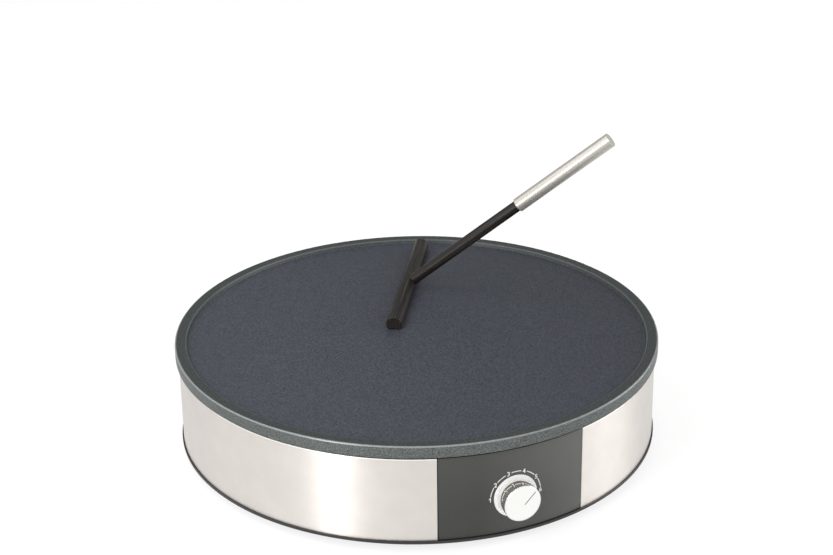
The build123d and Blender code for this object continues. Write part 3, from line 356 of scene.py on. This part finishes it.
def knob_face():
    """Pale disc, brushed in circles round the knob's axis, with a dark line in its groove."""
    finish = Finish("knob_face", (0.93, 0.93, 0.905), 0.33, 1.0, Anisotropic=0.4)
    y = finish.split()[1]
    radius = around_knob(finish)
    rings = finish.noise(1.0, 3, finish.point(finish.product(radius, RINGS_ACROSS), 0.0, 0.0))
    groove = finish.product(
        finish.span(y, KNOB_FRONT + 0.04 * MM, KNOB_FRONT + 0.12 * MM),
        finish.span(radius, GROOVE_REACH, GROOVE_REACH - 0.2 * MM),
    )
    finish.drive("Base Color", finish.blend(groove, finish.shade(rings, 0.05), (0.06, 0.06, 0.06)))
    finish.drive("Metallic", finish.math("SUBTRACT", 1.0, groove))
    finish.drive("Roughness", finish.span(rings, 0.3, 0.7, 0.27, 0.40))
    finish.drive("Normal", finish.bump(rings, 0.01 * MM, 0.3))
    return finish


def light_guide():
    """Milky light guide, with a painted glow that is stronger in its bore."""
    finish = Finish(
        "light_guide", (0.81, 0.81, 0.82), 0.4,
        Subsurface_Weight=0.3, Subsurface_Scale=1.0 * MM, Subsurface_Radius=(1.0, 1.0, 1.0),
    )
    bore = finish.span(around_knob(finish), KNOB_RADIUS + 0.55 * MM, KNOB_RADIUS + 0.35 * MM)
    finish.drive("Base Color", finish.shade(finish.noise(400, 2), 0.02))
    # painted glow: a faint white emission over the guide, stronger near the bore
    finish.set("Emission Color", white(1.0))
    finish.drive("Emission Strength", finish.span(bore, 0.0, 1.0, 0.05, 0.35))
    return finish


def brushed_tube(name, color, roughness, axis):
    """Satin metal, brushed along a direction."""
    finish = Finish(name, color, roughness, 0.55)
    across = axis.orthogonal().normalized()
    strokes = finish.strokes(
        (across, TUBE_ACROSS), (axis.cross(across), TUBE_ACROSS), (axis, TUBE_ALONG)
    )
    finish.drive("Base Color", finish.shade(strokes, 0.07))
    finish.drive("Roughness", finish.span(strokes, 0.3, 0.7, roughness - 0.03, roughness + 0.04))
    finish.drive("Normal", finish.bump(strokes, 0.01 * MM, 0.15))
    return finish


def streaked_moulding():
    """Near-black moulding with fine light streaks along the bar and along the stick."""
    finish = Finish("spreader_plastic", (0.011, 0.009, 0.0075), 0.4, Specular_IOR_Level=0.28)
    across = STICK.cross(BAR)
    bar_streaks = finish.strokes(
        (BAR, STREAK_ALONG), (STICK, STREAK_ACROSS), (across, STREAK_ACROSS)
    )
    stick_streaks = finish.strokes(
        (BAR, STREAK_ACROSS), (STICK, STREAK_ALONG), (across, STREAK_ACROSS)
    )
    on_stick = finish.span(finish.split()[2], STICK_FROM, STICK_FULL)
    level = finish.span(on_stick, 0.0, 1.0, bar_streaks, stick_streaks)
    color = finish.blend(finish.span(level, 0.52, 0.75), finish.color, (0.075, 0.062, 0.05))
    finish.drive("Base Color", color)
    finish.drive("Roughness", finish.span(level, 0.35, 0.7, 0.5, 0.3))
    finish.drive("Normal", finish.bump(level, 0.05 * MM, 0.4))
    return finish


def plain_metal(name, color, roughness):
    """Plated or rolled metal with slight stains."""
    finish = Finish(name, color, roughness, 1.0)
    finish.drive("Base Color", finish.shade(finish.noise(90, 4), 0.12))
    stains = finish.noise(500, 2)
    finish.drive("Roughness", finish.span(stains, 0.3, 0.7, roughness - 0.06, roughness + 0.1))
    return finish


def ceramic_white():
    """Unglazed ceramic."""
    finish = Finish("ceramic_white", (0.74, 0.72, 0.67), 0.55)
    finish.drive("Base Color", finish.shade(finish.noise(300, 4), 0.05))
    finish.drive("Normal", finish.bump(finish.noise(2500, 2), 0.03 * MM, 0.5))
    return finish


def lamp_clear():
    """Pale, glossy lens of a small lamp; it isn't see-through."""
    finish = Finish("lamp_clear", (0.85, 0.85, 0.75), 0.12, Coat_Weight=0.4)
    finish.drive("Base Color", finish.shade(finish.noise(900, 1), 0.06))
    return finish


def board_green():
    """Solder-masked board with a hint of its weave."""
    finish = Finish("board_green", (0.02, 0.13, 0.05), 0.3)
    finish.drive("Base Color", finish.shade(finish.noise(1200, 1), 0.2))
    return finish


def wire_sleeve(name, color):
    """Slightly uneven silicone sleeve."""
    finish = Finish(name, color, 0.42)
    finish.drive("Base Color", finish.shade(finish.noise(200, 2), 0.1))
    finish.drive("Normal", finish.bump(finish.noise(1600, 1), 0.02 * MM, 0.3))
    return finish


def dial_ink():
    """Screen-printed off-white ink."""
    finish = Finish("dial_ink", (0.80, 0.80, 0.76), 0.5)
    finish.drive("Base Color", finish.shade(finish.noise(2500, 2), 0.05))
    return finish


FINISHES = {
    "nonstick_casting": nonstick_casting,
    "band_steel": band_steel,
    "panel_plastic": panel_plastic,
    "base_plastic": lambda: moulding("base_plastic", (0.018, 0.015, 0.015), 0.42),
    "frame_plastic": lambda: moulding("frame_plastic", (0.025, 0.025, 0.027), 0.5),
    "foot_rubber": lambda: moulding("foot_rubber", (0.022, 0.022, 0.022), 0.75, 0.3 * MM),
    "knob_mirror": knob_mirror,
    "knob_face": knob_face,
    "light_guide": light_guide,
    "screw_steel": lambda: plain_metal("screw_steel", (0.55, 0.55, 0.54), 0.32),
    "sheet_steel": lambda: plain_metal("sheet_steel", (0.60, 0.60, 0.59), 0.36),
    "element_sheath": lambda: plain_metal("element_sheath", (0.22, 0.21, 0.20), 0.48),
    "ceramic_white": ceramic_white,
    "contact_brass": lambda: plain_metal("contact_brass", (0.72, 0.55, 0.28), 0.3),
    "thermostat_plastic": lambda: moulding("thermostat_plastic", (0.16, 0.075, 0.035), 0.45),
    "capillary_copper": lambda: plain_metal("capillary_copper", (0.62, 0.33, 0.21), 0.3),
    "board_green": board_green,
    "lamp_clear": lamp_clear,
    "spade_sleeve": lambda: moulding("spade_sleeve", (0.62, 0.60, 0.54), 0.4),
    "wire_blue": lambda: wire_sleeve("wire_blue", (0.04, 0.11, 0.38)),
    "wire_brown": lambda: wire_sleeve("wire_brown", (0.15, 0.06, 0.025)),
    "wire_green": lambda: wire_sleeve("wire_green", (0.24, 0.42, 0.05)),
    "spreader_plastic": streaked_moulding,
    "handle_steel": lambda: brushed_tube("handle_steel", (0.53, 0.51, 0.465), 0.34, STICK),
}


def dress_nodes():
    """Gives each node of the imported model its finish, by the record's material slots."""
    finishes = {}
    for node in frame["nodes"].values():
        slot = node.data.materials[0].name
        if slot not in finishes:
            finishes[slot] = FINISHES[slot]().material
        for i in range(len(node.data.materials)):
            node.data.materials[i] = finishes[slot]


# ---- the dial's print ----


def on_panel(x, z):
    """The point just in front of the panel's curved face, at (x, z) seen from the front."""
    radius = PANEL_RADIUS + PRINT_LIFT
    return Vector((x, -sqrt(radius**2 - x**2), z))


def mesh_piece(name, points, faces, finish):
    """A piece made from points and faces, which moves with the housing."""
    mesh = bpy.data.meshes.new(name)
    mesh.from_pydata([tuple(point) for point in points], [], faces)
    mesh.update()
    mesh.materials.append(finish)
    piece = bpy.data.objects.new(name, mesh)
    bpy.context.scene.collection.objects.link(piece)
    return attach(piece, "housing")


def on_dial(radius, angle):
    """The x and z of a place on the dial, by its radius and its angle in degrees."""
    turn = radians(angle)
    return DIAL_X + radius * cos(turn), KNOB_Z + radius * sin(turn)


def dial_arc(name, first, last, ink):
    """A thin printed arc between two dial angles."""
    edges = DIAL_RADIUS - DIAL_STROKE / 2, DIAL_RADIUS + DIAL_STROKE / 2
    points = []
    for i in range(ARC_STEPS + 1):
        angle = first + (last - first) * i / ARC_STEPS
        points += [on_panel(*on_dial(radius, angle)) for radius in edges]
    faces = [(2 * i, 2 * i + 1, 2 * i + 3, 2 * i + 2) for i in range(ARC_STEPS)]
    return mesh_piece(name, points, faces, ink)


def flat_numeral(text):
    """The mesh of a numeral in Blender's own type, flat in x and y."""
    curve = bpy.data.curves.new("numeral_" + text, "FONT")
    curve.body = text
    curve.size = NUMERAL_HEIGHT / NUMERAL_SHARE
    curve.align_x, curve.align_y = "CENTER", "CENTER"
    curve.offset = NUMERAL_WEIGHT * curve.size
    holder = bpy.data.objects.new("numeral_holder", curve)
    bpy.context.scene.collection.objects.link(holder)
    bpy.context.view_layer.update()
    depsgraph = bpy.context.evaluated_depsgraph_get()
    flat = bpy.data.meshes.new_from_object(holder.evaluated_get(depsgraph))
    bpy.data.objects.remove(holder)
    return flat


def dial_numeral(text, angle, ink):
    """A printed numeral, upright, its middle on the dial's circle."""
    flat = flat_numeral(text)
    spot = on_dial(DIAL_RADIUS, angle)
    start = []
    for i in (0, 1):
        reach = [vertex.co[i] for vertex in flat.vertices]
        start.append(spot[i] - (min(reach) + max(reach)) / 2)
    points = [on_panel(start[0] + v.co.x, start[1] + v.co.y) for v in flat.vertices]
    faces = [tuple(polygon.vertices) for polygon in flat.polygons]
    if text == "1":  # the type's 1 is a plain bar, and the dial's has a flag
        faces.append(tuple(range(len(points), len(points) + len(ONE_FLAG))))
        for x, z in ONE_FLAG:
            points.append(on_panel(spot[0] + NUMERAL_HEIGHT * x, spot[1] + NUMERAL_HEIGHT * z))
    return mesh_piece("dial_numeral_" + text, points, faces, ink)


def make_dial_print():
    """The numerals, and an arc between each and the next."""
    ink = dial_ink().material
    for i, angle in enumerate(DIAL_ANGLES):
        dial_numeral(str(i + 1), angle, ink)
        if i:
            dial_arc(f"dial_arc_{i}", DIAL_ANGLES[i - 1] - NUMERAL_GAP, angle + NUMERAL_GAP, ink)


# ---- camera, light, floor ----


def towards(azimuth, elevation):
    """The direction at an azimuth from the front, positive to the right, and an elevation."""
    return Vector((
        sin(azimuth) * cos(elevation), -cos(azimuth) * cos(elevation), sin(elevation)
    ))


def make_camera():
    """Looks at the rim's centre from the front left, and shows it off the picture's centre."""
    data = bpy.data.cameras.new("camera")
    data.sensor_width = SENSOR_WIDTH
    data.lens = FOCAL_LENGTH
    data.clip_start, data.clip_end = 0.01, 100
    camera = bpy.data.objects.new("camera", data)
    bpy.context.scene.collection.objects.link(camera)
    focal_pixels = FOCAL_LENGTH / SENSOR_WIDTH * PHOTO_WIDTH
    yaw = atan((RIM_CENTRE_PIXEL[0] - PHOTO_WIDTH / 2) / focal_pixels)
    pitch = atan((RIM_CENTRE_PIXEL[1] - PHOTO_HEIGHT / 2) / focal_pixels)
    back = towards(CAMERA_AZIMUTH, CAMERA_ELEVATION)
    right = Vector((cos(CAMERA_AZIMUTH), sin(CAMERA_AZIMUTH), 0))
    stand = Matrix((right, back.cross(right), back)).transposed()
    aim = Matrix.Rotation(yaw, 3, "Y") @ Matrix.Rotation(pitch, 3, "X")
    place = (stand @ (aim @ Matrix.Rotation(CAMERA_ROLL, 3, "Z"))).to_4x4()
    place.translation = Vector((0, 0, Z_RIM)) + CAMERA_DISTANCE * back
    camera.matrix_world = place
    bpy.context.scene.camera = camera


def soft_lamp(name, azimuth, elevation, distance, width, height, power):
    """A rectangular lamp that faces the drum's middle, at an azimuth and elevation in degrees."""
    data = bpy.data.lights.new(name, "AREA")
    data.shape = "RECTANGLE"
    data.size, data.size_y = width, height
    data.energy = power
    lamp = bpy.data.objects.new(name, data)
    bpy.context.scene.collection.objects.link(lamp)
    back = towards(radians(azimuth), radians(elevation))
    lamp.location = Vector((0, 0, Z_RIM / 2)) + distance * back
    lamp.rotation_mode = "QUATERNION"
    lamp.rotation_quaternion = back.to_track_quat("Z", "Y")


def ray_is(tree, *kinds):
    """1 for the named kinds of ray, else 0."""
    path = tree.nodes.new("ShaderNodeLightPath")
    total = path.outputs[f"Is {kinds[0]} Ray"]
    for kind in kinds[1:]:
        node = tree.nodes.new("ShaderNodeMath")
        node.operation = "MAXIMUM"
        tree.links.new(total, node.inputs[0])
        tree.links.new(path.outputs[f"Is {kind} Ray"], node.inputs[1])
        total = node.outputs[0]
    return total


def make_room():
    """A plain room: white where it is seen directly, and dimmer at the back in reflections."""
    world = bpy.data.worlds.new("studio")
    bpy.context.scene.world = world
    world.use_nodes = True
    tree = world.node_tree
    background = tree.nodes["Background"]
    background.inputs["Color"].default_value = white(1.0)
    way = tree.nodes.new("ShaderNodeVectorMath")
    way.operation = "DOT_PRODUCT"
    tree.links.new(tree.nodes.new("ShaderNodeTexCoord").outputs["Generated"], way.inputs[0])
    way.inputs[1].default_value = (sin(CAMERA_AZIMUTH), -cos(CAMERA_AZIMUTH), 0)
    room = ranged(tree, way.outputs["Value"], BACK_FULL, BACK_BEGINS, BACK_LEVEL, 1.0)
    lit = ranged(tree, ray_is(tree, "Glossy"), 0.0, 1.0, WORLD_LEVEL, room)
    level = ranged(tree, ray_is(tree, "Camera", "Transmission"), 0.0, 1.0, lit, 1.0)
    tree.links.new(level, background.inputs["Strength"])


def mixed(tree, share, first, second):
    """Two shaders mixed; a share of 1 is the second alone."""
    node = tree.nodes.new("ShaderNodeMixShader")
    for output, socket in zip((share, first, second), node.inputs):
        tree.links.new(output, socket)
    return node.outputs[0]


def floor_white():
    """White that is seen as white, keeps the object's shadow, and shines a little in metal."""
    material = bpy.data.materials.new("floor_white")
    material.use_nodes = True
    tree = material.node_tree
    tree.nodes.clear()
    diffuse = tree.nodes.new("ShaderNodeBsdfDiffuse")
    diffuse.inputs["Color"].default_value = white(FLOOR_LEVEL)
    glow = tree.nodes.new("ShaderNodeEmission")
    glow.inputs["Strength"].default_value = FLOOR_WHITE
    gloss = tree.nodes.new("ShaderNodeBsdfGlossy")
    gloss.inputs["Roughness"].default_value = FLOOR_GLOSS_ROUGHNESS
    seen = ray_is(tree, "Camera", "Glossy", "Transmission")
    glow_share = ranged(tree, seen, 0.0, 1.0, 0.0, FLOOR_GLOW)
    gloss_share = ranged(tree, ray_is(tree, "Glossy"), 0.0, 1.0, 0.0, FLOOR_GLOSS)
    shown = mixed(tree, glow_share, diffuse.outputs[0], glow.outputs[0])
    shown = mixed(tree, gloss_share, shown, gloss.outputs[0])
    output = tree.nodes.new("ShaderNodeOutputMaterial")
    tree.links.new(shown, output.inputs["Surface"])
    return material


def make_floor():
    """A floor that runs out of sight."""
    corners = [(x * FLOOR_HALF, y * FLOOR_HALF, 0) for x, y in ((-1, -1), (1, -1), (1, 1), (-1, 1))]
    mesh = bpy.data.meshes.new("floor")
    mesh.from_pydata(corners, [], [(0, 1, 2, 3)])
    mesh.materials.append(floor_white())
    floor = bpy.data.objects.new("floor", mesh)
    bpy.context.scene.collection.objects.link(floor)


def make_lights():
    """A narrow key lamp from the left, a soft one high on that side, a broad fill from the right."""
    soft_lamp("key", azimuth=-58, elevation=26, distance=1.2, width=0.27, height=1.0, power=6.5)
    soft_lamp("top", azimuth=-100, elevation=62, distance=1.5, width=1.2, height=1.2, power=7.5)
    soft_lamp("fill", azimuth=75, elevation=24, distance=2.2, width=1.1, height=1.5, power=17)


bpy.context.scene.view_settings.view_transform = "Standard"
make_camera()
make_lights()
make_room()
make_floor()
dress_nodes()
make_dial_print()
